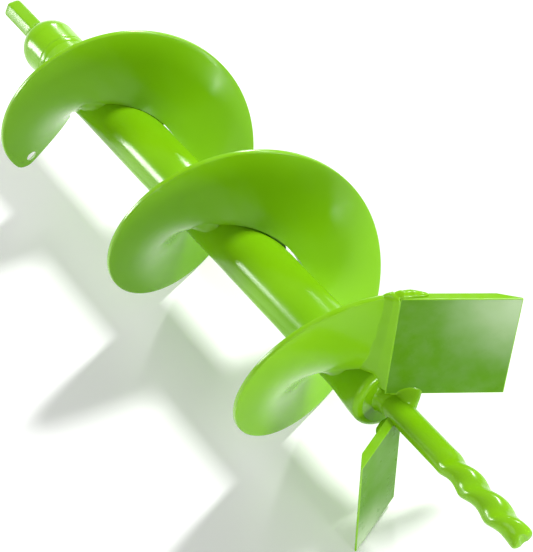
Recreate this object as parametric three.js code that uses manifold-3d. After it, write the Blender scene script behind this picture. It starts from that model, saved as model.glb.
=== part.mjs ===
// Drill-driven soil auger: a hex shank, a capped tube with a left-hand spiral flight, two flat
// cutters and a twisted pilot point, all welded together. Millimetres, +Z up.
//
// The auger is modelled about its own axis: X runs along the axis towards the pilot, x = 0 is
// where the flight begins, and angles are counted about +X from +Y towards +Z. The last lines
// turn it into the pose in which it lies on a flat floor.

import * as THREE from 'three';
import { mergeVertices } from 'three/addons/utils/BufferGeometryUtils.js';
import Module from 'manifold-3d';

const wasm = await Module();
wasm.setup();

// ---- driving dimensions ----------------------------------------------------------------------

const GAP = 0.35; // between pieces that are welded or pressed together

const SHANK_FLATS = 8; // hex drive shank, across flats
const SHANK_TIP = -68.3; // free end of the shank
const SHANK_ROOT = -37; // inner end of the shank, inside the cap
const SHANK_CORNER = 0.7; // radius of the hex corners
const SPIGOT_RADIUS = 3.9; // the shank is turned round where it passes through the cap
const SPIGOT_START = -44.3;

const CAP_TOP = -42.8; // where the shank leaves the dome
const CAP_RADIUS = 11;
const CAP_RIM = -21;
const CAP_WALL = 2.5;

const TUBE_RADIUS = 10;
const TUBE_WALL = 2;
const TUBE_TOP = -18.6;
const TUBE_BOTTOM = 193.6;

const PITCH = 83; // axial advance of the flight in one turn
const FLIGHT_RADIUS = 40;
const FLIGHT_BORE = 10.75; // the flight's inner edge stands just off the tube
const FLIGHT_THICKNESS = 2;
const FLIGHT_SWEEP = 850; // degrees from the start direction to the main cutter
const START_OFFSET = 7; // the start edge is a chord this far from the axis
const START_LAG = 28; // degrees by which that chord trails the start direction at the tube
const START_BORE = 15.2; // inner radius at the start, where the strip springs off the tube
const SPRING_SWEEP = 75; // degrees over which the inner edge closes in on the tube
const CORNER_RADIUS = 5.5; // rounded outer corner of the start edge
const HOLE_RADIUS = 2;
const HOLE_REACH = 33.5; // distance of the punched hole from the axis
const HOLE_TURN = -4.3; // degrees past the start direction

const DISC_THICKNESS = 3;
const DISC_RADIUS = 10.2;
const DISC_FACE = TUBE_BOTTOM + GAP + DISC_THICKNESS;
const DISC_SEAM_ARC = [274, 577]; // the seam weld stops on both sides of the flight's end

const PILOT_RADIUS = 4.15;
const PILOT_ROOT = 184;
const PILOT_TWIST_START = 229;
const PILOT_TIP = 265;
const PILOT_LEAD = 24.3; // axial length of one full turn of the twisted point
const PILOT_PHASE = 20; // degrees that the twist is turned about the axis
const BASE_FOOT = 6.3; // radius of the fillet weld around the pilot's root
const BASE_HEIGHT = 4;
const PILOT_WAIST = 3.4; // half thickness of the twisted point across its flats
const PILOT_SPREAD = 0.35; // how far its edges stand out beyond the plain rod
const NOTCH_RADIUS = 1.5; // fishtail notch in the tip

const MIN_BEAD = 0.4; // size of a bead at its ends, as a share of its middle

const MAIN = {
  angle: -FLIGHT_SWEEP, // direction of the cutter's radial edge
  origin: 200.5, // where its front plane crosses the axis
  slope: 24.3, // rake, in degrees
  inner: 4.2,
  outer: 40.2,
  back: -3.2,
  front: 33.7,
  slant: 0,
  thickness: 3,
  bevel: 7.5,
  edge: 0.7,
};
const SIDE = {
  angle: 48.4,
  origin: 205.2,
  slope: 22,
  inner: -0.9,
  outer: 38.4,
  back: 0,
  front: 20.4,
  slant: 0.36, // the ends lean outwards by this much for each millimetre forwards
  skew: -9.6, // degrees that the whole plate is turned in its own plane
  thickness: 3,
  bevel: 4,
  edge: 0.6,
};

const LIE_ROLL = -161.7; // degrees about the axis, so that two turns and the side cutter touch the floor

// ---- colour ----------------------------------------------------------------------------------

const LIME = 0x8cce15;
const powderCoat = () => new THREE.MeshStandardMaterial({ color: LIME, roughness: 0.3, metalness: 0 });

// ---- helpers ---------------------------------------------------------------------------------

const rad = THREE.MathUtils.degToRad;
const deg = THREE.MathUtils.radToDeg;

function polar(x, radius, angle) {
  return new THREE.Vector3(x, radius * Math.cos(rad(angle)), radius * Math.sin(rad(angle)));
}

function toSolid(geometry) {
  let bare = geometry.clone();
  bare.deleteAttribute('normal');
  bare.deleteAttribute('uv');
  bare = mergeVertices(bare, 1e-4);
  const vertProperties = new Float32Array(bare.attributes.position.array);
  const triVerts = new Uint32Array(bare.index.array);
  return new wasm.Manifold(new wasm.Mesh({ numProp: 3, vertProperties, triVerts }));
}

// The largest single body of a solid, as a three.js geometry.
function toGeometry(solid) {
  const bodies = solid.decompose().sort((a, b) => b.volume() - a.volume());
  const mesh = bodies[0].getMesh();
  const geometry = new THREE.BufferGeometry();
  geometry.setAttribute('position', new THREE.BufferAttribute(new Float32Array(mesh.vertProperties), 3));
  geometry.setIndex(new THREE.BufferAttribute(new Uint32Array(mesh.triVerts), 1));
  geometry.computeVertexNormals();
  return geometry;
}

function cut(geometry, ...tools) {
  return toGeometry(tools.reduce((solid, tool) => solid.subtract(toSolid(tool)), toSolid(geometry)));
}

// A solid of revolution about X. The profile lists [x, radius] pairs and ends on the axis or closes.
function turned(profile, segments = 48) {
  const points = profile.map(([x, radius]) => new THREE.Vector2(radius, x));
  return new THREE.LatheGeometry(points, segments).rotateZ(-Math.PI / 2);
}

function ring(x0, x1, inner, outer) {
  return turned([[x0, inner], [x0, outer], [x1, outer], [x1, inner], [x0, inner]]);
}

function rod(x0, x1, radius) {
  return turned([[x0, 0], [x0, radius], [x1, radius], [x1, 0]]);
}

// A closed skin over a list of rings of points; every ring has the same number of points, and
// the first and last rings are closed with fans. Wound so that the faces point outwards when the
// rings run counter-clockwise seen from the far end.
function lofted(rings) {
  const count = rings[0].length;
  const positions = rings.flat().flatMap((p) => [p.x, p.y, p.z]);
  const faces = [];
  for (let i = 0; i + 1 < rings.length; i += 1) {
    for (let j = 0; j < count; j += 1) {
      const a = i * count + j;
      const b = i * count + ((j + 1) % count);
      faces.push(a, b, b + count, a, b + count, a + count);
    }
  }
  const last = (rings.length - 1) * count;
  for (let j = 1; j + 1 < count; j += 1) {
    faces.push(0, j + 1, j);
    faces.push(last, last + j, last + j + 1);
  }
  const geometry = new THREE.BufferGeometry();
  geometry.setAttribute('position', new THREE.Float32BufferAttribute(positions, 3));
  geometry.setIndex(faces);
  return outward(geometry);
}

// Turns a closed geometry's faces over if they point inwards.
function outward(geometry) {
  const position = geometry.attributes.position;
  const index = geometry.index.array;
  const corner = [0, 1, 2].map(() => new THREE.Vector3());
  let volume = 0;
  for (let i = 0; i < index.length; i += 3) {
    corner.forEach((p, k) => p.fromBufferAttribute(position, index[i + k]));
    volume += corner[0].dot(corner[1].clone().cross(corner[2]));
  }
  if (volume < 0) {
    for (let i = 0; i < index.length; i += 3) {
      [index[i], index[i + 1]] = [index[i + 1], index[i]];
    }
  }
  geometry.computeVertexNormals();
  return geometry;
}

// ---- shank and cap ---------------------------------------------------------------------------

function hexSection(scale) {
  const points = [];
  const across = SHANK_FLATS / 2;
  const corner = (across - SHANK_CORNER) / Math.cos(rad(30));
  for (let side = 0; side < 6; side += 1) {
    const centre = 60 * side + 30;
    for (const lean of [-30, 0, 30]) {
      const y = corner * Math.cos(rad(centre)) + SHANK_CORNER * Math.cos(rad(centre + lean));
      const z = corner * Math.sin(rad(centre)) + SHANK_CORNER * Math.sin(rad(centre + lean));
      points.push([y * scale, z * scale]);
    }
  }
  return points;
}

function hexShank() {
  const stations = [[SPIGOT_START - 0.4, 1], [SHANK_TIP + 4.2, 1]];
  for (const lift of [20, 40, 58, 74]) {
    stations.push([SHANK_TIP + 4.2 - 3.9 * Math.sin(rad(lift)), Math.cos(rad(lift)) ** 0.8]);
  }
  stations.push([SHANK_TIP, 0.2]);
  const hex = stations.map(([x, scale]) => hexSection(scale).map(([y, z]) => new THREE.Vector3(x, y, z)));
  const spigot = [SHANK_ROOT, SPIGOT_START].map((x) => hexSection(1).map(([y, z]) => (
    polar(x, SPIGOT_RADIUS, deg(Math.atan2(z, y)))
  )));
  return lofted([...spigot, ...hex]);
}

// The dome's outer profile from the shank hole to the rim: a ball that runs into a slight taper.
function capProfile(shrink, hole) {
  const centre = CAP_TOP + CAP_RADIUS;
  const radius = CAP_RADIUS - shrink;
  const first = Math.asin(hole / radius);
  const profile = [];
  for (let i = 0; i <= 9; i += 1) {
    const lift = first + ((rad(95) - first) * i) / 9;
    profile.push([centre - radius * Math.cos(lift), radius * Math.sin(lift)]);
  }
  profile.push([CAP_RIM, TUBE_RADIUS + 0.4 - shrink]);
  return profile;
}

function domedCap() {
  const hole = SHANK_FLATS * 0.55 + 0.4;
  const outside = capProfile(0, hole);
  const inside = capProfile(CAP_WALL, hole).reverse();
  return turned([...outside, ...inside, outside[0]]);
}

function shankWeld() {
  const neck = SHANK_FLATS * 0.55 + 0.25;
  const seat = CAP_TOP + 1.6;
  const fillet = [[-2.6, 0.1], [-1.9, 0.55], [-1.1, 1.15], [-0.5, 1.9]];
  const outside = fillet.map(([dx, dr]) => [seat + dx, neck + dr]);
  return turned([[seat - 2.6, neck], ...outside, [seat - 0.5, neck], [seat - 2.6, neck]]);
}

function seamBead(x0, x1, crown, inner) {
  const profile = [[x0, inner]];
  for (let i = 0; i <= 6; i += 1) {
    const t = i / 6;
    profile.push([x0 + (x1 - x0) * t, inner + 0.3 + (crown - inner - 0.3) * Math.sin(Math.PI * t)]);
  }
  return turned([...profile, [x1, inner], [x0, inner]]);
}

// The same bead over an arc, thinning out at both ends.
function arcBead(x0, x1, crown, inner, from, to) {
  const rings = [];
  for (let i = 0; i <= 40; i += 1) {
    const angle = from + ((to - from) * i) / 40;
    const size = Math.min(1, MIN_BEAD + 0.15 * Math.min(i, 40 - i));
    const section = [[x0, inner]];
    for (let k = 0; k <= 6; k += 1) {
      const rise = 0.3 + (crown - inner - 0.3) * Math.sin((Math.PI * k) / 6);
      section.push([x0 + ((x1 - x0) * k) / 6, inner + rise * size]);
    }
    section.push([x1, inner]);
    rings.push(section.map(([x, radius]) => polar(x, radius, angle)));
  }
  return lofted(rings);
}

// ---- flight ----------------------------------------------------------------------------------

const flightX = (turn) => (PITCH * turn) / 360;

// Axial thickness of the strip, so that it measures the same square to its own slope.
const axialThickness = (radius) => FLIGHT_THICKNESS * Math.hypot(1, PITCH / (2 * Math.PI * radius));

// Turn angle of an edge cut along a chord, at a radius.
const chordTurn = (turn, offset, radius) => turn - deg(Math.asin(offset / radius));

function innerRadius(turn) {
  const t = THREE.MathUtils.clamp((turn + START_LAG) / SPRING_SWEEP, 0, 1);
  return FLIGHT_BORE + (START_BORE - FLIGHT_BORE) * (1 - t) ** 2;
}

function outerRadius(travel) {
  const short = Math.max(0, CORNER_RADIUS - travel);
  return FLIGHT_RADIUS - CORNER_RADIUS + Math.sqrt(CORNER_RADIUS ** 2 - short ** 2);
}

// Share of the way along the strip for each cross-section, closer together at the rounded corner.
function flightShares() {
  const shares = [];
  const cornerShare = CORNER_RADIUS / (rad(FLIGHT_SWEEP) * FLIGHT_RADIUS);
  for (let i = 0; i < 6; i += 1) {
    shares.push(cornerShare * (1 - Math.cos((Math.PI / 2) * (i / 6))));
  }
  for (let i = 0; i <= 200; i += 1) {
    shares.push(cornerShare + (1 - cornerShare) * (i / 200));
  }
  return shares;
}

const END_OFFSET = -MAIN.back * Math.cos(rad(MAIN.slope)) + 0.9;

function flightPoint(share, across, face, grow) {
  const travel = share * rad(FLIGHT_SWEEP) * FLIGHT_RADIUS;
  const outer = outerRadius(travel) + grow;
  const inner = innerRadius(share * FLIGHT_SWEEP - START_LAG * (1 - share)) - grow;
  const radius = inner + (outer - inner) * across;
  const start = chordTurn(0, START_OFFSET, radius);
  const end = chordTurn(FLIGHT_SWEEP, END_OFFSET - grow, radius);
  const turn = start + (end - start) * share;
  const swell = grow * (2 * face - 1) * 1.5;
  return polar(flightX(turn) + face * axialThickness(radius) + swell, radius, -turn);
}

// The strip before its hole is punched; grow swells it on every side but its start edge.
function flightStrip(grow = 0) {
  const across = [0, 0.2, 0.45, 0.72, 1];
  return lofted(flightShares().map((share) => [
    ...across.map((a) => flightPoint(share, a, 0, grow)),
    ...[...across].reverse().map((a) => flightPoint(share, a, 1, grow)),
  ]));
}

function spiralFlight() {
  const drill = new THREE.CylinderGeometry(HOLE_RADIUS, HOLE_RADIUS, 12, 20).rotateZ(Math.PI / 2);
  const lead = Math.atan(PITCH / (2 * Math.PI * HOLE_REACH));
  drill.rotateY(-lead);
  drill.translate(0, HOLE_REACH, 0).rotateX(rad(-HOLE_TURN));
  drill.translate(flightX(HOLE_TURN) + 1, 0, 0);
  return cut(flightStrip(), drill);
}

// A fillet bead in the corner between the tube and one face of the flight. side is -1 on the
// face towards the shank and 1 on the face towards the pilot.
function rootWeld(from, to, side) {
  const steps = Math.max(6, Math.round((to - from) / 6));
  const rings = [];
  for (let i = 0; i <= steps; i += 1) {
    const turn = from + ((to - from) * i) / steps;
    const size = 0.35 + 0.65 * Math.sqrt(Math.sin(Math.PI * THREE.MathUtils.clamp(i / steps, 0.03, 0.97)));
    const face = (radius) => flightX(turn) + (side > 0 ? axialThickness(radius) : 0) + side * 0.6;
    const low = TUBE_RADIUS + GAP;
    const section = [[low, 0], [low + 3.4 * size, 0], [low + 1.1 * size, 1.6 * size], [low, 4 * size]];
    rings.push(section.map(([radius, rise]) => polar(face(radius) + side * rise, radius, -turn)));
  }
  return lofted(rings);
}

// The lip of weld that bridges the sprung inner corner of the flight to the tube.
function startWeld() {
  const rings = [];
  for (let i = 0; i <= 10; i += 1) {
    const turn = -14 + 6 * i;
    const low = TUBE_RADIUS + GAP;
    const high = Math.max(low + 0.9, innerRadius(turn) - 1.4 * GAP);
    const size = 0.5 + 0.5 * Math.sin(Math.PI * THREE.MathUtils.clamp(i / 10, 0.05, 0.95));
    const middle = flightX(turn) + 1.2;
    rings.push([
      polar(middle - 1.3 * size, low, -turn),
      polar(middle - 1.0 * size, high, -turn),
      polar(middle + 1.4 * size, high, -turn),
      polar(middle + 2.2 * size, low, -turn),
    ]);
  }
  return lofted(rings);
}

// ---- pilot -----------------------------------------------------------------------------------

function pilotPoint() {
  const sides = 20;
  const rings = [];
  const twistSteps = 30;
  const stations = [PILOT_ROOT, PILOT_TWIST_START - 3];
  for (let i = 0; i <= twistSteps; i += 1) {
    stations.push(PILOT_TWIST_START + ((PILOT_TIP - PILOT_TWIST_START) * i) / twistSteps);
  }
  for (const x of stations) {
    const blend = THREE.MathUtils.smoothstep(x, PILOT_TWIST_START - 3, PILOT_TWIST_START + 5);
    const end = THREE.MathUtils.smoothstep(x, PILOT_TIP - 7, PILOT_TIP + 1);
    const wide = (PILOT_RADIUS + PILOT_SPREAD * blend) * (1 - 0.2 * end);
    const thin = PILOT_RADIUS + (PILOT_WAIST - PILOT_RADIUS) * blend - 1.3 * end;
    const turn = (-360 * Math.max(0, x - PILOT_TWIST_START)) / PILOT_LEAD - PILOT_PHASE;
    const points = [];
    for (let j = 0; j < sides; j += 1) {
      const a = (2 * Math.PI * j) / sides;
      const y = wide * Math.cos(a);
      const z = thin * Math.sin(a);
      const radius = Math.hypot(y, z);
      points.push(polar(x, radius, deg(Math.atan2(z, y)) + turn));
    }
    rings.push(points);
  }
  const notch = new THREE.CylinderGeometry(NOTCH_RADIUS, NOTCH_RADIUS, 16, 12);
  const tipTurn = (-360 * (PILOT_TIP - PILOT_TWIST_START)) / PILOT_LEAD - PILOT_PHASE;
  notch.rotateX(Math.PI / 2).rotateX(rad(tipTurn)).translate(PILOT_TIP + 0.6, 0, 0);
  return cut(lofted(rings), notch);
}

// A fillet around the pilot's root, standing on the end disc.
function coneWeld(seat, inner, foot, height) {
  return turned([
    [seat, inner], [seat, foot], [seat + 0.25 * height, foot - 0.45 * (foot - inner)],
    [seat + height, inner + 0.35], [seat + height, inner], [seat, inner],
  ]);
}

// ---- cutters ---------------------------------------------------------------------------------

// Frame of a cutter: radial, forward (down the rake) and front normal, placed at its origin.
function cutterFrame(spec) {
  const radial = polar(0, 1, spec.angle);
  const spin = polar(0, 1, spec.angle - 90);
  const axis = new THREE.Vector3(1, 0, 0);
  const slope = rad(spec.slope);
  const forward = spin.clone().multiplyScalar(Math.cos(slope)).addScaledVector(axis, Math.sin(slope));
  const normal = axis.clone().multiplyScalar(Math.cos(slope)).addScaledVector(spin, -Math.sin(slope));
  const matrix = new THREE.Matrix4().makeBasis(radial, forward, normal);
  matrix.setPosition(spec.origin, 0, 0);
  return matrix;
}

// A flat plate whose leading edge is ground down to a thin edge from the side facing the shank.
function cutterPlate(spec, grow = 0) {
  const { inner, outer, back, front, slant, skew = 0, thickness, bevel, edge } = spec;
  const profile = [
    [back - grow, grow], [front + grow, grow], [front + grow, -edge - grow],
    [front - bevel, -thickness - grow], [back - grow, -thickness - grow],
  ];
  const end = (reach) => profile.map(([f, n]) => new THREE.Vector3(reach + slant * f, f, n));
  const plate = lofted([end(inner - grow), end(outer + grow)]);
  return outward(plate.rotateZ(rad(skew)).applyMatrix4(cutterFrame(spec)));
}

// A bead of weld between two points given as [radial, forward, normal] in a cutter's own frame.
function cutterBead(spec, from, to, size, ...tools) {
  const path = new THREE.LineCurve3(new THREE.Vector3(...from), new THREE.Vector3(...to));
  const steps = 8;
  const rings = [];
  const direction = path.getTangent(0);
  const across = new THREE.Vector3(0, 0, 1);
  const side = across.clone().cross(direction).normalize();
  for (let i = 0; i <= steps; i += 1) {
    const t = i / steps;
    const centre = path.getPoint(t);
    const radius = size * (0.55 + 0.45 * Math.sin(Math.PI * THREE.MathUtils.clamp(t, 0.06, 0.94)));
    const points = [];
    for (let j = 0; j < 12; j += 1) {
      const a = (2 * Math.PI * j) / 12;
      const p = centre.clone().addScaledVector(side, radius * Math.cos(a));
      points.push(p.addScaledVector(across, radius * Math.sin(a)));
    }
    rings.push(points);
  }
  return cut(outward(lofted(rings).applyMatrix4(cutterFrame(spec))), ...tools);
}

// ---- assembly --------------------------------------------------------------------------------

const tool = new THREE.Group();
const auger = new THREE.Group();
auger.name = 'soil_auger';

function add(name, geometry) {
  const mesh = new THREE.Mesh(geometry, powderCoat());
  mesh.name = name;
  tool.add(mesh);
}

const rimClear = rod(TUBE_BOTTOM - 3, DISC_FACE + GAP, TUBE_RADIUS + 1.8);
const pilotClear = rod(PILOT_ROOT, PILOT_TWIST_START, PILOT_RADIUS + GAP);
const flightClear = flightStrip(GAP);
const mainClear = cutterPlate(MAIN, GAP);
const sideClear = cutterPlate(SIDE, GAP);
const baseClear = rod(DISC_FACE - 1, DISC_FACE + 2 * GAP + BASE_HEIGHT, BASE_FOOT + GAP);

add('hex_shank', hexShank());
add('shank_weld', shankWeld());
add('domed_cap', domedCap());
add('cap_seam_weld', seamBead(CAP_RIM + GAP, TUBE_TOP - GAP, TUBE_RADIUS + 0.7, TUBE_RADIUS - 1));
add('centre_tube', ring(TUBE_TOP, TUBE_BOTTOM, TUBE_RADIUS - TUBE_WALL, TUBE_RADIUS));

add('spiral_flight', spiralFlight());
add('flight_start_weld', cut(startWeld(), flightClear));
const upperStitches = [[130, 180], [310, 360], [490, 540], [670, 720]];
const lowerStitches = [[38, 92], [215, 265], [398, 448], [575, 625], [750, 798]];
upperStitches.forEach(([from, to], i) => add(`upper_stitch_weld_${i + 1}`, rootWeld(from, to, -1)));
lowerStitches.forEach(([from, to], i) => add(`lower_stitch_weld_${i + 1}`, rootWeld(from, to, 1)));

add('end_disc', ring(TUBE_BOTTOM + GAP, DISC_FACE, PILOT_RADIUS + GAP, DISC_RADIUS));
add('disc_seam_weld', arcBead(
  TUBE_BOTTOM - 2.4, DISC_FACE - 0.3, TUBE_RADIUS + 1.3, DISC_RADIUS + GAP, ...DISC_SEAM_ARC,
));
add('pilot_point', pilotPoint());
add('pilot_base_weld', cut(
  coneWeld(DISC_FACE + GAP, PILOT_RADIUS + GAP, BASE_FOOT, BASE_HEIGHT),
  mainClear, sideClear,
));

add('main_cutter', cut(cutterPlate(MAIN), rimClear, pilotClear));
add('main_cutter_flight_weld', cutterBead(
  MAIN, [13.5, MAIN.back - 1.2, -0.8], [39.5, MAIN.back - 0.6, -0.8], 1.9, mainClear, flightClear,
));
add('main_cutter_tube_weld', cutterBead(
  MAIN, [11.5, 4, -6.5], [11.5, 15, -8.5], 2.6, mainClear, rimClear, flightClear,
));
add('main_cutter_pilot_weld', cutterBead(
  MAIN, [4.6, 1.5, 0.4], [4.6, 9, 0.4], 2.4, mainClear, pilotClear, baseClear,
));
add('side_cutter', cut(cutterPlate(SIDE), pilotClear));
add('side_cutter_weld', cutterBead(
  SIDE, [4.4, 0.6, -3.6], [5.6, 6.4, -3.6], 2, sideClear, pilotClear, baseClear,
));

tool.rotation.x = rad(LIE_ROLL);
auger.add(tool);
auger.updateMatrixWorld(true);
const box = new THREE.Box3().setFromObject(auger, true);
tool.position.set(-(box.min.x + box.max.x) / 2, -(box.min.y + box.max.y) / 2, -box.min.z);
auger.updateMatrixWorld(true);

export default auger;
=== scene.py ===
"""Looks of a drill-driven soil auger: a lime powder-coated hex shank, capped tube, left-hand
spiral flight, two flat cutters and a twisted pilot point, welded together and lying on a floor.

Pieces are shaped about the tool's own axis, in millimetres: X runs along the axis towards the
pilot, x = 0 is where the flight begins, and angles are counted about +X from +Y towards +Z.
to_row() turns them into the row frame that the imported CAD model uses, in metres.
"""

import math

import bmesh
import bpy
import numpy as np
from mathutils import Matrix, Vector, noise


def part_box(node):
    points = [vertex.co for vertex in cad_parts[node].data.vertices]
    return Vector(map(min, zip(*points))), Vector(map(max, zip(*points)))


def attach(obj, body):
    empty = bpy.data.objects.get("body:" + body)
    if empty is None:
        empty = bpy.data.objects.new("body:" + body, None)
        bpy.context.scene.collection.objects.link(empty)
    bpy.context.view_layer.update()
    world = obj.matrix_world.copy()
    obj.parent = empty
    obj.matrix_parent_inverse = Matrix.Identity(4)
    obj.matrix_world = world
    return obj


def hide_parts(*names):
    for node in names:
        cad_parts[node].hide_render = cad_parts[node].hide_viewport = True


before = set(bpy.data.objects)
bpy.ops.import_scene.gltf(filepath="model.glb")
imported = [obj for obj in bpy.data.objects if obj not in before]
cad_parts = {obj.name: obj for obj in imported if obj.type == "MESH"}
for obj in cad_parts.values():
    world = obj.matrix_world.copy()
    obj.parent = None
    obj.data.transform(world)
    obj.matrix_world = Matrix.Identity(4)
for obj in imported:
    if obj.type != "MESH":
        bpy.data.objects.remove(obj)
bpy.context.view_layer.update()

# ---- sizes shared with the CAD model, in millimetres and degrees ----------------------------

LIE_ROLL = -161.7
SHANK_FLATS = 8.0
CAP_RIM = -21.0
TUBE_RADIUS, TUBE_TOP, TUBE_BOTTOM = 10.0, -18.6, 193.6
PITCH, FLIGHT_RADIUS, FLIGHT_BORE, FLIGHT_THICKNESS, FLIGHT_SWEEP = 83.0, 40.0, 10.75, 2.0, 850.0
START_OFFSET, START_BORE, SPRING_SWEEP, CORNER_RADIUS = 7.0, 15.2, 75.0, 5.5
HOLE_RADIUS, HOLE_REACH, HOLE_TURN = 2.0, 33.5, -4.3
DISC_FACE = 196.95
PILOT_RADIUS, PILOT_TWIST_START, PILOT_TIP = 4.15, 229.0, 265.0
PILOT_LEAD, PILOT_PHASE, PILOT_WAIST = 24.3, 20.0, 3.4
MAIN = dict(angle=-FLIGHT_SWEEP, origin=200.5, slope=24.3, inner=4.2, outer=40.2, back=-3.2,
            front=33.7, slant=0.0, skew=0.0, thickness=3.0, bevel=7.5, edge=0.7)
SIDE = dict(angle=48.4, origin=205.2, slope=22.0, inner=-0.9, outer=38.4, back=0.0,
            front=20.4, slant=0.36, skew=-9.6, thickness=3.0, bevel=4.0, edge=0.6)
UPPER_STITCHES = [(130, 180), (310, 360), (490, 540), (670, 720)]
LOWER_STITCHES = [(38, 92), (215, 265), (398, 448), (575, 625), (750, 798)]

# ---- sizes that differ from the CAD model, to follow the photo more closely -----------------

SHANK_TIP, SHANK_CORNER = -67.4, 1.1
CAP_TOP, CAP_RADIUS, CAP_RIM_RADIUS = -42.2, 10.7, 10.4
DISC_FLARE = 11.3  # radius of the rolled lip that stands for the disc's seam weld
BORE_CLOSER, CLOSER_FADE = 0.55, (300, 420)
HOLE_WIDENING = 4.6
PILOT_ROOT = 190.0  # hidden in the tube, where the CAD rod goes 6 mm deeper

# ---- place in the row frame -----------------------------------------------------------------

MM = 0.001
tube_low, tube_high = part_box("centre_tube")
ORIGIN = np.array([tube_high.x - TUBE_BOTTOM * MM,
                   (tube_low.y + tube_high.y) / 2, (tube_low.z + tube_high.z) / 2])

# ---- helpers --------------------------------------------------------------------------------


def polar(x, radius, angle):
    """Tool-frame points from an axial place, a radius and an angle in degrees."""
    x, radius, angle = np.broadcast_arrays(x, radius, np.radians(angle))
    return np.stack([x, radius * np.cos(angle), radius * np.sin(angle)], -1)


def to_row(points):
    """Tool-frame millimetres to row-frame metres."""
    p = np.asarray(points, float)
    c, s = math.cos(math.radians(LIE_ROLL)), math.sin(math.radians(LIE_ROLL))
    turned = np.stack([p[..., 0], p[..., 1] * c - p[..., 2] * s, p[..., 1] * s + p[..., 2] * c], -1)
    return turned * MM + ORIGIN


def smoothstep(x, low, high):
    t = np.clip((np.asarray(x, float) - low) / (high - low), 0, 1)
    return t * t * (3 - 2 * t)


def ripple(points, size, amount, seed):
    """Smooth seeded noise for a list of points: one number each, up to about amount."""
    offset = Vector((seed * 17.3, seed * 5.1, seed * 9.7))
    flat = np.asarray(points, float).reshape(-1, 3)
    values = [noise.noise(Vector(p) / size + offset) * amount for p in flat]
    return np.array(values).reshape(np.asarray(points).shape[:-1])


def finish_mesh(mesh, crease):
    bm = bmesh.new()
    bm.from_mesh(mesh)
    bmesh.ops.remove_doubles(bm, verts=bm.verts, dist=2e-6)
    bmesh.ops.dissolve_degenerate(bm, dist=1e-7, edges=bm.edges)
    bmesh.ops.recalc_face_normals(bm, faces=bm.faces)
    bm.to_mesh(mesh)
    bm.free()
    mesh.shade_smooth()
    mesh.set_sharp_from_angle(angle=math.radians(crease))


def skin(name, rings, crease=40):
    """A closed mesh over rings of tool-frame points, with flat ends."""
    rings = np.asarray(rings, float)
    count, around = rings.shape[:2]
    faces = []
    for i in range(count - 1):
        this, following = i * around, (i + 1) * around
        for j in range(around):
            k = (j + 1) % around
            faces.append((this + j, this + k, following + k, following + j))
    faces.append(tuple(range(around)))
    faces.append(tuple((count - 1) * around + j for j in range(around)))
    mesh = bpy.data.meshes.new(name)
    mesh.from_pydata(to_row(rings.reshape(-1, 3)).tolist(), [], faces)
    finish_mesh(mesh, crease)
    return mesh


def curve_between(start, end, pull, steps=8, first=0):
    """Points of a quadratic curve from start to end, drawn towards a third point."""
    t = np.linspace(first, 1, steps)[:, None]
    return (1 - t) ** 2 * np.array(start) + 2 * t * (1 - t) * np.array(pull) + t * t * np.array(end)


def lathe(name, profile, crease=40, lump=None):
    """A solid of revolution about the axis; the profile lists (x, radius) and ends on the axis.
    lump is (size, amount, seed) of the seeded unevenness of its surface."""
    segments = 160
    x, radius = np.array(profile, float).T
    angle = np.linspace(0, 360, segments, endpoint=False)
    rings = polar(x[:, None], radius[:, None], angle[None, :])
    if lump:
        size, amount, seed = lump
        grow = 1 + ripple(rings, size, amount, seed) / np.maximum(radius[:, None], 1)
        rings[..., 1:] *= grow[..., None]
    return skin(name, rings, crease)


def piece(name, mesh, material, *nodes):
    """Puts a mesh in the scene as a piece of the tool, in place of CAD nodes."""
    obj = bpy.data.objects.new(name, mesh)
    bpy.context.scene.collection.objects.link(obj)
    if not mesh.materials:
        mesh.materials.append(material)
    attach(obj, "root")
    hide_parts(*nodes)


def applied(obj):
    """Bakes an object's modifiers into its mesh."""
    evaluated = obj.evaluated_get(bpy.context.evaluated_depsgraph_get())
    mesh = bpy.data.meshes.new_from_object(evaluated)
    obj.modifiers.clear()
    obj.data = mesh


def punched(mesh, tool_mesh, crease):
    """The mesh with a tool mesh cut out of it."""
    body = bpy.data.objects.new("body", mesh)
    tool = bpy.data.objects.new("tool", tool_mesh)
    for obj in (body, tool):
        bpy.context.scene.collection.objects.link(obj)
    cut = body.modifiers.new("cut", "BOOLEAN")
    cut.operation, cut.solver, cut.object = "DIFFERENCE", "EXACT", tool
    applied(body)
    result = body.data
    bpy.data.objects.remove(body)
    bpy.data.objects.remove(tool)
    finish_mesh(result, crease)
    return result


# ---- camera ---------------------------------------------------------------------------------

# The one camera that fits the whole of the photo, placed from the tool's origin.
CAMERA_FROM_ORIGIN = Vector((529.025, -131.742, 440.081)) * MM
CAMERA_RIGHT = Vector((0.5204, 0.8225, -0.2292))
CAMERA_UP = Vector((-0.5447, 0.5266, 0.6527))
CAMERA_BACK = Vector((0.6576, -0.2148, 0.7221))

camera_data = bpy.data.cameras.new("camera")
camera_data.lens = 121.39
camera_data.sensor_width = 36
camera_data.clip_start, camera_data.clip_end = 0.02, 20
camera = bpy.data.objects.new("camera", camera_data)
bpy.context.scene.collection.objects.link(camera)
bpy.context.scene.camera = camera
camera_place = Vector(ORIGIN) + CAMERA_FROM_ORIGIN
axes = Matrix((CAMERA_RIGHT, CAMERA_UP, CAMERA_BACK)).transposed()
camera.matrix_world = Matrix.Translation(camera_place) @ axes.to_4x4()

# ---- materials ------------------------------------------------------------------------------


LIME = (0.198, 0.470, 0.003)
LIME_SHADE = (0.165, 0.415, 0.002)
# Cutter front faces: a darker copy of the lime coat, which is painted shade.
CUTTER_FACE_PAINTED_SHADE = (0.088, 0.250, 0.008)
CUTTER_FACE_PAINTED_SHADE_DEEP = (0.080, 0.228, 0.006)
# Pale colours of the painted highlight towards the cutters' corners.
PAINTED_HIGHLIGHT_PALE = (0.53, 0.66, 0.44)
PAINTED_HIGHLIGHT_DULL = (0.47, 0.60, 0.38)


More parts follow.
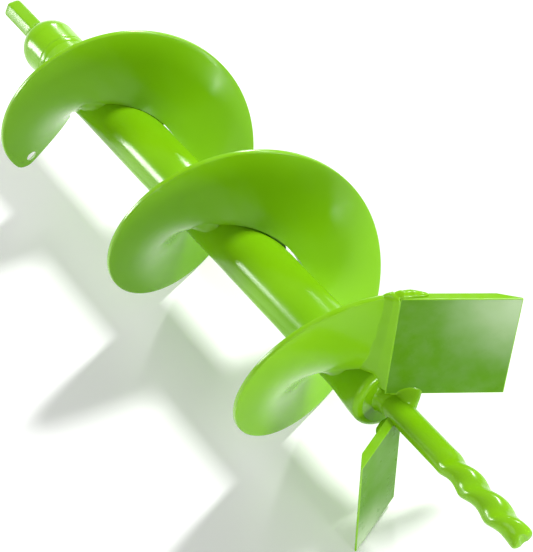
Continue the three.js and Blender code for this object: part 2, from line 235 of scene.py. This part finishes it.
def powder_coat(name, colour, shade, roughness, gloss, painted_highlight=None):
    """Glossy powder coat: faint colour clouds, orange peel, uneven gloss and thin, paler edges.
    painted_highlight is (point, reach, strength): a painted highlight, the coat fading to pale
    towards that point, in metres."""
    worn = 0.5
    material = bpy.data.materials.new(name)
    material.use_nodes = True
    nodes, links = material.node_tree.nodes, material.node_tree.links
    shader = nodes["Principled BSDF"]
    shader.inputs["Specular IOR Level"].default_value = gloss
    shader.inputs["Coat Weight"].default_value = 0.3 * gloss
    shader.inputs["Coat Roughness"].default_value = 0.10
    shader.inputs["IOR"].default_value = 1.5
    place = nodes.new("ShaderNodeTexCoord")

    def cloud(scale, detail, roughness=0.5):
        node = nodes.new("ShaderNodeTexNoise")
        node.inputs["Scale"].default_value = scale
        node.inputs["Detail"].default_value = detail
        node.inputs["Roughness"].default_value = roughness
        links.new(place.outputs["Object"], node.inputs["Vector"])
        return node.outputs["Fac"]

    def ramp(source, *stops):
        node = nodes.new("ShaderNodeValToRGB")
        for element, (position, value) in zip(node.color_ramp.elements, stops):
            element.position = position
            element.color = (*value, 1)
        links.new(source, node.inputs["Fac"])
        return node.outputs["Color"]

    def mixed(factor, first, second):
        node = nodes.new("ShaderNodeMix")
        node.data_type = "RGBA"
        links.new(factor, node.inputs["Factor"])
        links.new(first, node.inputs["A"])
        links.new(second, node.inputs["B"])
        return node.outputs["Result"]

    def grey(v):
        return (v, v, v)

    body = ramp(cloud(22, 3), (0.3, shade), (0.7, colour))
    pale = tuple(min(1, 0.8 * c + 0.14) for c in colour)
    edge_colour = ramp(cloud(180, 2), (0.35, colour), (0.75, pale))
    geometry = nodes.new("ShaderNodeNewGeometry")
    edges = ramp(geometry.outputs["Pointiness"], (0.5, grey(0)), (0.62, grey(worn)))
    surface = mixed(edges, body, edge_colour)
    # Painted highlight: the coat fades to pale towards a given point.
    if painted_highlight:
        point, reach, strength = painted_highlight
        distance = nodes.new("ShaderNodeVectorMath")
        distance.operation = "DISTANCE"
        distance.inputs[1].default_value = point
        links.new(place.outputs["Object"], distance.inputs[0])
        highlight_fade = nodes.new("ShaderNodeMapRange")
        highlight_fade.interpolation_type = "SMOOTHSTEP"
        highlight_fade.inputs["From Min"].default_value = 0
        highlight_fade.inputs["From Max"].default_value = reach
        highlight_fade.inputs["To Min"].default_value = strength
        highlight_fade.inputs["To Max"].default_value = 0
        links.new(distance.outputs["Value"], highlight_fade.inputs["Value"])
        painted_highlight_colour = ramp(cloud(90, 2), (0.3, PAINTED_HIGHLIGHT_DULL), (0.7, PAINTED_HIGHLIGHT_PALE))
        surface = mixed(highlight_fade.outputs["Result"], surface, painted_highlight_colour)
    links.new(surface, shader.inputs["Base Color"])
    low, high = roughness
    uneven = ramp(cloud(140, 4, 0.6), (0.3, grey(low)), (0.7, grey(high)))
    links.new(uneven, shader.inputs["Roughness"])

    peel = nodes.new("ShaderNodeBump")
    peel.inputs["Strength"].default_value = 0.07
    peel.inputs["Distance"].default_value = 0.0003
    links.new(cloud(420, 2), peel.inputs["Height"])
    sag = nodes.new("ShaderNodeBump")
    sag.inputs["Strength"].default_value = 0.05
    sag.inputs["Distance"].default_value = 0.001
    links.new(cloud(60, 1), sag.inputs["Height"])
    links.new(sag.outputs["Normal"], peel.inputs["Normal"])
    links.new(peel.outputs["Normal"], shader.inputs["Normal"])
    return material


coat = powder_coat("powder_coat_gloss", LIME, LIME_SHADE, (0.17, 0.26), gloss=0.2)

# ---- shank and cap --------------------------------------------------------------------------


def hex_ring(x, scale):
    """Hexagon section with soft corners, as (x, y, z) points."""
    corner = (SHANK_FLATS / 2 - SHANK_CORNER) / math.cos(math.radians(30))
    points = []
    for side in range(6):
        centre = math.radians(60 * side + 30)
        for lean in (-30, -18, -6, 6, 18, 30):
            a = centre + math.radians(lean)
            points.append((x, scale * (corner * math.cos(centre) + SHANK_CORNER * math.cos(a)),
                           scale * (corner * math.sin(centre) + SHANK_CORNER * math.sin(a))))
    return points


def hex_shank():
    """The hexagon bar, whose end turns into a dome over the length of the bullet."""
    bullet = 4.2
    rings = [hex_ring(x, 1) for x in np.linspace(CAP_TOP + 3, SHANK_TIP + bullet, 24)]
    for lift in np.linspace(6, 88, 20):
        a = math.radians(lift)
        scale = math.cos(a) ** 0.9
        hexagon = np.array(hex_ring(SHANK_TIP + bullet - bullet * math.sin(a), scale))
        reach = np.linalg.norm(hexagon[:, 1:], axis=1)[:, None]
        roundness = float(smoothstep(lift, 0, 40))
        rounded = reach + (SHANK_FLATS / 2 * scale - reach) * roundness
        hexagon[:, 1:] *= rounded / reach
        rings.append(hexagon)
    return skin("hex_shank_coated", rings, crease=30)


def cap_profile():
    centre = CAP_TOP + CAP_RADIUS
    profile = [(CAP_TOP + 2, 0)]
    for lift in np.linspace(28, 97, 26):
        a = math.radians(lift)
        profile.append((centre - CAP_RADIUS * math.cos(a), CAP_RADIUS * math.sin(a)))
    last_x, last_r = profile[-1]
    for t in np.linspace(0.08, 1, 10):
        profile.append((last_x + (CAP_RIM - last_x) * t, last_r + (CAP_RIM_RADIUS - last_r) * t))
    profile += [(CAP_RIM + 0.3, CAP_RIM_RADIUS - 0.35), (CAP_RIM + 0.3, 0)]
    return profile


def neck_profile():
    """Fillet weld from the shank out to the dome."""
    foot = CAP_TOP - 2.4
    curve = curve_between((foot, 4.35), (CAP_TOP + 2.2, 7.1), (CAP_TOP + 0.3, 4.7), 12, first=0.05)
    return [(foot, 0), (foot, 4.25)] + [tuple(p) for p in curve] + [(CAP_TOP + 2.6, 0)]


def seam_profile():
    """A low bead over the joint between the cap and the tube, a little sunk at its edges."""
    overlap, sunk, proud = 0.9, 0.10, 0.22
    x0, x1 = CAP_RIM - overlap, TUBE_TOP + overlap
    profile = [(x0, 0)]
    for t in np.linspace(0, 1, 14):
        base = CAP_RIM_RADIUS + (TUBE_RADIUS - CAP_RIM_RADIUS) * t
        profile.append((x0 + (x1 - x0) * t, base - sunk + proud * math.sin(math.pi * t)))
    profile.append((x1, 0))
    return profile


piece("shank", hex_shank(), coat, "hex_shank")
piece("shank_fillet", lathe("shank_fillet", neck_profile(), lump=(2.2, 0.25, 3)), coat,
      "shank_weld")
piece("cap_dome", lathe("cap_dome", cap_profile(), crease=50, lump=(9, 0.12, 1)), coat, "domed_cap")
piece("cap_seam", lathe("cap_seam", seam_profile(), lump=(3.0, 0.12, 5)), coat, "cap_seam_weld")

# ---- tube and end disc ----------------------------------------------------------------------


def tube_profile():
    """The tube, its rolled lower lip and the slightly recessed end disc, as one outline."""
    flare_start, lip_depth, disc_radius, recess = 178.0, 2.4, 8.5, 0.3
    lip_start = DISC_FACE - lip_depth
    profile = [(TUBE_TOP - 1, 0)]
    profile += [(x, TUBE_RADIUS) for x in np.linspace(TUBE_TOP - 1, flare_start, 40)]
    for x in np.linspace(flare_start + 1, lip_start, 16):
        flared = float(smoothstep(x, flare_start, lip_start))
        profile.append((x, TUBE_RADIUS + (DISC_FLARE - TUBE_RADIUS) * flared))
    for lean in np.linspace(6, 84, 16):
        a = math.radians(lean)
        profile.append((lip_start + lip_depth * math.sin(a),
                        disc_radius + (DISC_FLARE - disc_radius) * math.cos(a)))
    profile += [(DISC_FACE - 0.1, disc_radius), (DISC_FACE - recess, disc_radius - 0.3),
                (DISC_FACE - recess, 0)]
    return profile


piece("tube_and_disc", lathe("tube_and_disc", tube_profile(), crease=60, lump=(14, 0.10, 2)),
      coat, "centre_tube", "end_disc", "disc_seam_weld")

# ---- flight ---------------------------------------------------------------------------------

START_TURN = -28.0
END_OVERLAP = 0.9
END_OFFSET = -MAIN["back"] * math.cos(math.radians(MAIN["slope"])) + END_OVERLAP
FLIGHT_LENGTH = math.radians(FLIGHT_SWEEP) * FLIGHT_RADIUS


def flight_x(turn):
    """Axial place of the strip's upper face at a turn in degrees."""
    return PITCH * np.asarray(turn, float) / 360


def axial_thickness(radius):
    """Thickness of the strip measured along the axis, which grows towards the root."""
    return FLIGHT_THICKNESS * np.hypot(1, PITCH / (2 * math.pi * np.asarray(radius, float)))


def inner_radius(turn):
    """The strip's inner edge, which springs away from the tube at its start."""
    close = BORE_CLOSER * (1 - smoothstep(turn, *CLOSER_FADE))
    t = np.clip((np.asarray(turn, float) - START_TURN) / SPRING_SWEEP, 0, 1)
    return FLIGHT_BORE - close + (START_BORE - FLIGHT_BORE) * (1 - t) ** 2


def flight_ring(travel, inset):
    """One section of the strip; inset rounds the start edge off."""
    share = travel / FLIGHT_LENGTH
    short = max(0.0, CORNER_RADIUS - travel)
    outer = FLIGHT_RADIUS - CORNER_RADIUS + math.sqrt(CORNER_RADIUS ** 2 - short ** 2)
    inner = float(inner_radius(share * FLIGHT_SWEEP + START_TURN * (1 - share)))
    soft, rim_thickness, wave_height = 0.55, 2.1, 0.16
    section = []
    for across in np.linspace(0, 1, 18):
        section.append((inner + (outer - soft - inner) * across, inset))
    for lean in (22, 45, 68, 90):
        a = math.radians(lean)
        section.append((outer - soft + soft * math.sin(a),
                        inset + soft / rim_thickness * (1 - math.cos(a))))
    section += [(radius, 1 - face) for radius, face in reversed(section)]
    points = []
    for radius, face in section:
        start = -math.degrees(math.asin(START_OFFSET / radius))
        end = FLIGHT_SWEEP - math.degrees(math.asin(END_OFFSET / radius))
        turn = start + (end - start) * share
        wave = wave_height * math.sin(math.radians(turn * 2.3)) * (radius - 10) / 30
        points.append((flight_x(turn) + face * axial_thickness(radius) + wave, radius, -turn))
    x, radius, angle = np.array(points).T
    return polar(x, radius, angle)


def flight():
    """The strip as sections along its length, with the hole drilled through it. The drill widens
    behind the strip, so that light comes through the hole towards the camera."""
    corner = [CORNER_RADIUS * (1 - math.cos(math.pi / 2 * i / 12)) for i in range(1, 12)]
    travels = [0.0, 0.12, 0.3] + [t for t in corner if t > 0.35]
    insets = [0.28, 0.14, 0.05] + [0.0] * (len(travels) - 3)
    along = list(np.linspace(CORNER_RADIUS, FLIGHT_LENGTH, 640))
    travels += along
    insets += [0.0] * len(along)
    body = skin("flight", [flight_ring(t, i) for t, i in zip(travels, insets)], crease=50)
    lead = math.atan(PITCH / (2 * math.pi * HOLE_REACH))
    centre = polar(float(flight_x(HOLE_TURN)) + 1, HOLE_REACH, -HOLE_TURN)
    along_axis = np.array([1.0, 0, 0])
    around = polar(0, 1, -HOLE_TURN - 90)
    normal = along_axis * math.cos(lead) - around * math.sin(lead)
    outward = polar(0, 1, -HOLE_TURN)
    third = np.cross(normal, outward)
    turns = np.linspace(0, 2 * math.pi, 40, endpoint=False)
    circle = np.cos(turns)[:, None] * outward + np.sin(turns)[:, None] * third
    drill_steps = ((-3, HOLE_RADIUS + HOLE_WIDENING), (1.1, HOLE_RADIUS), (6, HOLE_RADIUS))
    drill = skin("drill", [centre + size * circle + reach * normal for reach, size in drill_steps])
    return punched(body, drill, crease=50)


def stitch(name, start, end, side, seed):
    """A painted-over fillet weld between the tube and one face of the flight."""
    wide, tall, buried = 4.3, 4.4, 1.2
    low = TUBE_RADIUS - 0.4
    steps = int((end - start) * 1.2)
    rings = []
    for i in range(steps + 1):
        t = i / steps
        turn = start + (end - start) * t
        size = 0.10 + 0.62 * math.sin(math.pi * min(0.985, max(0.015, t))) ** 0.8
        size *= 1 + float(ripple([(turn / 9, seed, 0)], 1, 0.12, seed)[0])
        curve = curve_between((low + wide * size, 0.0), (low + 0.35, tall * size),
                              (low + 1.2 * size, 1.1 * size))
        section = ([(low, -buried), (low + wide * size, -buried)] + [tuple(p) for p in curve]
                   + [(low, tall * size)])
        radius = np.array([p[0] for p in section])
        rise = np.array([p[1] for p in section])
        thickness = axial_thickness(np.maximum(radius, FLIGHT_BORE)) if side > 0 else 0
        rings.append(polar(flight_x(turn) + thickness + side * rise, radius, -turn))
    return skin(name, rings, crease=60)


def start_lip():
    """Weld lip that carries the sprung inner corner of the strip down to the tube."""
    rings = []
    for turn in np.linspace(-25, 47, 60):
        t = (turn + 25) / 72
        size = 0.25 + 0.75 * math.sin(math.pi * min(0.98, max(0.02, t))) ** 0.6
        high = float(inner_radius(turn)) + 0.9
        low = TUBE_RADIUS - 0.5
        thick = float(axial_thickness(high))
        top, foot = 0.25, 1.9 * size
        bend = high - 0.75 * (high - low)
        upper = curve_between((high, top), (low, -foot), (bend, top))
        under = curve_between((low, thick + foot * 1.5), (high, thick - top), (bend, thick - top))
        section = np.concatenate([upper, under])
        rings.append(polar(flight_x(turn) + section[:, 1], section[:, 0], -turn))
    return skin("start_lip", rings, crease=60)


piece("flight", flight(), coat, "spiral_flight")
piece("flight_start_lip", start_lip(), coat, "flight_start_weld")
for index, (start, end) in enumerate(UPPER_STITCHES, 1):
    name = f"upper_stitch_{index}"
    piece(name, stitch(name, start, end, -1, index), coat, f"upper_stitch_weld_{index}")
for index, (start, end) in enumerate(LOWER_STITCHES, 1):
    name = f"lower_stitch_{index}"
    piece(name, stitch(name, start, end, 1, index + 10), coat, f"lower_stitch_weld_{index}")

# ---- pilot ----------------------------------------------------------------------------------


def pilot_turn(x):
    """Direction of the pilot's wide way at an axial place, in degrees."""
    return -360 * max(0.0, x - PILOT_TWIST_START) / PILOT_LEAD - PILOT_PHASE


def pilot():
    """A round rod that flattens into a twisted bar, with a round notch in its tip."""
    notch_radius, notch_beyond_tip = 1.5, 0.6
    stations = list(np.linspace(PILOT_ROOT, PILOT_TWIST_START - 3, 30))
    stations += list(np.linspace(PILOT_TWIST_START - 2.6, PILOT_TIP, 110))
    rings = []
    lobes = np.linspace(0, 2 * math.pi, 64, endpoint=False)
    for x in stations:
        blend = float(smoothstep(x, PILOT_TWIST_START - 3, PILOT_TWIST_START + 5))
        end = float(smoothstep(x, PILOT_TIP - 7, PILOT_TIP + 1))
        round_off = math.sqrt(max(0.0, 1 - max(0.0, (x - PILOT_TIP + 1.2) / 1.25) ** 2))
        wide = (PILOT_RADIUS + 0.35 * blend) * (1 - 0.2 * end) * (0.75 + 0.25 * round_off)
        thin = PILOT_RADIUS + (PILOT_WAIST - PILOT_RADIUS) * blend - 1.3 * end
        thin *= 0.5 + 0.5 * round_off
        y, z = wide * np.cos(lobes), thin * np.sin(lobes)
        rings.append(polar(x, np.hypot(y, z), np.degrees(np.arctan2(z, y)) + pilot_turn(x)))
    body = skin("pilot", rings, crease=50)
    flatwise = polar(0, 1, pilot_turn(PILOT_TIP) + 90)
    wide_way = polar(0, 1, pilot_turn(PILOT_TIP))
    centre = np.array([PILOT_TIP + notch_beyond_tip, 0, 0])
    turns = np.linspace(0, 2 * math.pi, 28, endpoint=False)
    circle = np.cos(turns)[:, None] * np.array([1.0, 0, 0]) + np.sin(turns)[:, None] * wide_way
    notch = skin("notch", [centre + notch_radius * circle + reach * flatwise
                           for reach in (-8, 8)])
    return punched(body, notch, crease=50)


def base_profile():
    """Fillet weld from the end disc up to the pilot."""
    foot, height = 4.7, 3.6
    profile = [(DISC_FACE - 0.8, 0), (DISC_FACE - 0.8, foot)]
    curve = curve_between((DISC_FACE - 0.3, foot + 0.6), (DISC_FACE + height, PILOT_RADIUS - 0.05),
                          (DISC_FACE + 0.6, PILOT_RADIUS + 0.4), 14)
    return profile + [tuple(p) for p in curve] + [(DISC_FACE + height, 0)]


piece("pilot", pilot(), coat, "pilot_point")
piece("pilot_base_fillet", lathe("pilot_base_fillet", base_profile(), lump=(2.5, 0.2, 7)), coat,
      "pilot_base_weld")

# ---- cutters --------------------------------------------------------------------------------


def cutter_axes(spec):
    """Radial, forward and front-normal directions of a cutter."""
    radial = polar(0, 1, spec["angle"])
    spin = polar(0, 1, spec["angle"] - 90)
    axis = np.array([1.0, 0, 0])
    slope = math.radians(spec["slope"])
    forward = spin * math.cos(slope) + axis * math.sin(slope)
    normal = axis * math.cos(slope) - spin * math.sin(slope)
    return radial, forward, normal


def in_cutter(spec, points):
    """Tool-frame points from (radial, forward, normal) places in a cutter's own frame."""
    radial, forward, normal = cutter_axes(spec)
    skew = math.radians(spec["skew"])
    p = np.asarray(points, float)
    along = p[..., 0] * math.cos(skew) - p[..., 1] * math.sin(skew)
    ahead = p[..., 0] * math.sin(skew) + p[..., 1] * math.cos(skew)
    origin = np.array([spec["origin"], 0, 0])
    return (origin + along[..., None] * radial + ahead[..., None] * forward
            + p[..., 2:3] * normal)


def cutter_plate(name, spec, painted_highlight, soft=0.35):
    """The plate with its ground edge and soft edges. Its front face has a darker coat, which is
    painted shade, turning pale towards painted_highlight, a painted highlight: a point of the
    cutter's own frame, a reach in metres and a strength."""
    back, front, thick = spec["back"], spec["front"], spec["thickness"]
    profile = [(back, 0), (front, 0), (front, -spec["edge"]), (front - spec["bevel"], -thick),
               (back, -thick)]
    rings = [[(reach + spec["slant"] * f, f, n) for f, n in profile]
             for reach in (spec["inner"], spec["outer"])]
    mesh = skin(name, in_cutter(spec, rings), crease=20)
    obj = bpy.data.objects.new(name, mesh)
    bpy.context.scene.collection.objects.link(obj)
    bevel = obj.modifiers.new("soft_edges", "BEVEL")
    bevel.width, bevel.segments, bevel.limit_method = soft * MM, 3, "ANGLE"
    bevel.angle_limit = math.radians(15)
    bevel.harden_normals = True
    applied(obj)
    result = obj.data
    bpy.data.objects.remove(obj)
    corner, reach, strength = painted_highlight
    # The front face's coat: painted shade, with a painted highlight towards the corner.
    face_painted_shade_and_highlight_coat = powder_coat(name + "_face_painted_shade_and_highlight", CUTTER_FACE_PAINTED_SHADE, CUTTER_FACE_PAINTED_SHADE_DEEP, (0.24, 0.36), gloss=0.05,
                            painted_highlight=(Vector(to_row(in_cutter(spec, corner))), reach, strength))
    result.materials.append(coat)
    result.materials.append(face_painted_shade_and_highlight_coat)
    origin = to_row(in_cutter(spec, (0, 0, 0)))
    front_way = Vector(to_row(in_cutter(spec, (0, 0, 1))) - origin).normalized()
    # Faces that look to the front get the darker coat, the painted shade.
    for polygon in result.polygons:
        polygon.material_index = int(polygon.normal.dot(front_way) > 0.98)
    return result


def trailing_weld():
    """The long weld that runs from the cutter's trailing edge back onto the flight."""
    radial = polar(0, 1, MAIN["angle"])
    spin = polar(0, 1, MAIN["angle"] - 90)
    slope = math.radians(MAIN["slope"])
    plate_x = MAIN["origin"] + math.tan(slope) * -2.4 * math.cos(slope)
    inner, outer = 5.6, 38.5
    reaches = np.concatenate([np.linspace(inner, outer, 80),
                              outer + 2.6 * np.sin(np.linspace(0.1, 1.5, 14))])
    rings = []
    for reach in reaches:
        t = (max(reach, 11) - 11) / 29
        left = -(7.3 - t + 0.15 * math.sin(reach * 0.7))
        end = math.sqrt(max(0.02, 1 - max(0.0, (reach - outer) / 2.65) ** 2))
        turn = FLIGHT_SWEEP + math.degrees(math.atan2(left, reach))
        landing = max(FLIGHT_BORE + 1, math.hypot(left, reach))
        flat_x = float(flight_x(turn) + axial_thickness(landing))
        crest = plate_x + 0.22 + 0.05 * math.sin(reach * 1.1)
        middle = 0.5 * (flat_x + crest) + 0.45
        section = [(-2.6, plate_x - 0.4), (-3.0, crest), (0.5 * (left - 2.9), middle),
                   (left + 0.4, flat_x + 0.3), (left - 0.2, flat_x - 0.2),
                   (left + 0.3, flat_x - 1.6), (-2.2, flat_x - 1.6)]
        chord = np.array([p[0] for p in section])
        x = np.array([p[1] for p in section])
        chord, x = chord.mean() + (chord - chord.mean()) * end, x.mean() + (x - x.mean()) * end
        rings.append(np.outer(chord, spin) + reach * radial + np.outer(x, [1.0, 0, 0]))
    return skin("trailing_weld", rings, crease=180)


def bead(name, spec, path, sizes, seed):
    """A lumpy bead of weld along points of a cutter's own frame."""
    t = np.linspace(0, 1, 48)
    knots = np.linspace(0, 1, len(path))
    centre = np.stack([np.interp(t, knots, [p[k] for p in path]) for k in range(3)], -1)
    size = np.interp(t, knots, sizes) * (1 - (2 * np.clip(t, 0.01, 0.99) - 1) ** 6) ** 0.5
    along = np.gradient(centre, axis=0)
    along /= np.linalg.norm(along, axis=1)[:, None]
    side = np.cross(along, [0, 0, 1.0])
    side /= np.linalg.norm(side, axis=1)[:, None]
    over = np.cross(side, along)
    angle = np.linspace(0, 2 * math.pi, 28, endpoint=False)
    width = size[:, None, None]
    rings = centre[:, None] + width * (np.cos(angle)[None, :, None] * side[:, None]
                                       + np.sin(angle)[None, :, None] * over[:, None])
    lumps = ripple(rings, 2.0, 0.35, seed)[..., None]
    rings += lumps * (rings - centre[:, None]) / width.clip(0.3)
    return skin(name, in_cutter(spec, rings), crease=180)


def smoothed(mesh, voxel=0.4, rounds=10):
    """Voxel remesh and relax, so that lumps run together as painted weld does."""
    obj = bpy.data.objects.new("blend", mesh)
    bpy.context.scene.collection.objects.link(obj)
    remesh = obj.modifiers.new("remesh", "REMESH")
    remesh.mode, remesh.voxel_size = "VOXEL", voxel * MM
    relax = obj.modifiers.new("relax", "SMOOTH")
    relax.factor, relax.iterations = 0.5, rounds
    applied(obj)
    result = obj.data
    bpy.data.objects.remove(obj)
    result.shade_smooth()
    return result


def joined(name, *meshes):
    """Several meshes as one."""
    bm = bmesh.new()
    for mesh in meshes:
        bm.from_mesh(mesh)
    result = bpy.data.meshes.new(name)
    bm.to_mesh(result)
    bm.free()
    return result


def pilot_gusset():
    """The deep fillet that runs from the main cutter's inner edge down the pilot's flank. The stub
    and the edge lie just inside the pilot and the plate, for the fillet to blend into."""
    angle = np.linspace(0, 2 * math.pi, 36, endpoint=False)
    path = np.array([(6.4, 4.6, -1.9), (5.2, 4.5, -1.3), (3.6, 4.2, 0.2), (2.0, 3.4, 2.0),
                     (0.6, 2.4, 4.4)])
    widths, depths = [3.4, 3.9, 3.9, 3.6, 3.4], [1.6, 1.9, 2.4, 3.0, 3.2]
    t, knots = np.linspace(0, 1, 24), np.linspace(0, 1, len(path))
    centre = np.stack([np.interp(t, knots, path[:, k]) for k in range(3)], -1)
    wide, deep = np.interp(t, knots, widths), np.interp(t, knots, depths)
    across, lift = np.array([0.0, 1.0, 0.0]), np.array([0.55, 0.0, 0.835])
    rings = (centre[:, None] + (wide[:, None] * np.cos(angle))[..., None] * across
             + (deep[:, None] * np.sin(angle))[..., None] * lift)
    under = 0.12
    stub = [polar(x, PILOT_RADIUS - under, np.linspace(0, 360, 48, endpoint=False))
            for x in (198.5, 212)]
    edge = [[(reach, f, n) for f, n in ((-1.5, -under), (12, -under), (12, -2.6), (-1.5, -2.6))]
            for reach in (4.4, 10)]
    return joined("main_cutter_pilot_fillet", skin("gusset", in_cutter(MAIN, rings), 180),
                  skin("stub", stub, 180), skin("edge", in_cutter(MAIN, edge), 180))


def corner_bead():
    """The blob at the outer corner, where the trailing weld ends."""
    path = [(40.0, -5.5, -2.0), (40.7, -2, -1.5), (40.6, 2, -1.7), (40.2, 6, -2.0)]
    return bead("corner_bead", MAIN, path, [0.9, 1.5, 1.2, 0.7], 31)


def tube_bead():
    path = [(11.2, -2, -4.5), (11.3, 5, -6.5), (11.4, 13, -8.2), (11.8, 18, -9.0)]
    return bead("main_cutter_tube_bead", MAIN, path, [2.4, 2.9, 2.6, 1.6], 21)


def side_bead():
    path = [(4.2, -0.4, -2.6), (4.8, 3, -3.4), (5.4, 7.4, -3.4)]
    return bead("side_cutter_bead", SIDE, path, [1.6, 2.2, 1.5], 25)


# Painted highlights on the cutters' front faces: point, reach in metres, strength.
MAIN_PAINTED_HIGHLIGHT = ((42, 36, 0), 0.034, 0.75)
SIDE_PAINTED_HIGHLIGHT = ((46, 17, 0), 0.022, 0.9)
piece("main_cutter_plate", cutter_plate("main_cutter_plate", MAIN, MAIN_PAINTED_HIGHLIGHT), coat,
      "main_cutter")
piece("main_cutter_trailing_weld",
      smoothed(joined("trailing", trailing_weld(), corner_bead()), 0.3, 6), coat,
      "main_cutter_flight_weld")
piece("main_cutter_tube_bead", smoothed(tube_bead()), coat, "main_cutter_tube_weld")
piece("main_cutter_pilot_fillet", smoothed(pilot_gusset(), 0.3, 14), coat,
      "main_cutter_pilot_weld")
piece("side_cutter_plate", cutter_plate("side_cutter_plate", SIDE, SIDE_PAINTED_HIGHLIGHT, 0.3), coat,
      "side_cutter")
piece("side_cutter_bead", smoothed(side_bead()), coat, "side_cutter_weld")

# ---- floor and lights -----------------------------------------------------------------------

FLOOR_REACH = 3.0
WORLD_STRENGTH = 0.34
square = ((-1, -1), (1, -1), (1, 1), (-1, 1))
floor_mesh = bpy.data.meshes.new("floor")
floor_mesh.from_pydata([(x * FLOOR_REACH, y * FLOOR_REACH, 0) for x, y in square], [],
                       [(0, 1, 2, 3)])
floor = bpy.data.objects.new("floor", floor_mesh)
bpy.context.scene.collection.objects.link(floor)
floor_material = bpy.data.materials.new("pale_floor")
floor_material.use_nodes = True
floor_shader = floor_material.node_tree.nodes["Principled BSDF"]
floor_shader.inputs["Base Color"].default_value = (0.93, 0.93, 0.93, 1)
floor_shader.inputs["Roughness"].default_value = 0.8
floor_shader.inputs["Specular IOR Level"].default_value = 0.2
floor_mesh.materials.append(floor_material)

world = bpy.data.worlds.new("studio")
bpy.context.scene.world = world
world.use_nodes = True
background = world.node_tree.nodes["Background"]
background.inputs["Color"].default_value = (1, 1, 1, 1)
background.inputs["Strength"].default_value = WORLD_STRENGTH
# The default view transform greys out the lime.
bpy.context.scene.view_settings.view_transform = "Standard"


def soft_light(name, place, target, side, power):
    """A square area light, in metres from the row origin, aimed at a target; power in watts."""
    data = bpy.data.lights.new(name, "AREA")
    data.shape = "RECTANGLE"
    data.size = data.size_y = side
    data.energy = power
    light = bpy.data.objects.new(name, data)
    bpy.context.scene.collection.objects.link(light)
    light.location = place
    light.visible_camera = False
    light.rotation_mode = "QUATERNION"
    light.rotation_quaternion = (Vector(target) - Vector(place)).to_track_quat("-Z", "Y")


soft_light("key", (0.10, 1.10, 1.30), (0, 0, 0.03), 0.24, 30)
soft_light("fill", (0.55, -1.25, 0.95), (0, 0, 0.03), 0.7, 5)
soft_light("rim_left", (-1.15, -1.0, 0.40), (0, 0, 0.04), 0.38, 15)
soft_light("rim_right", (-1.15, 0.95, 0.62), (0, 0, 0.04), 0.24, 9)
soft_light("front_glow", (1.25, 0.06, 0.13), (0, 0, 0.06), 0.20, 7)
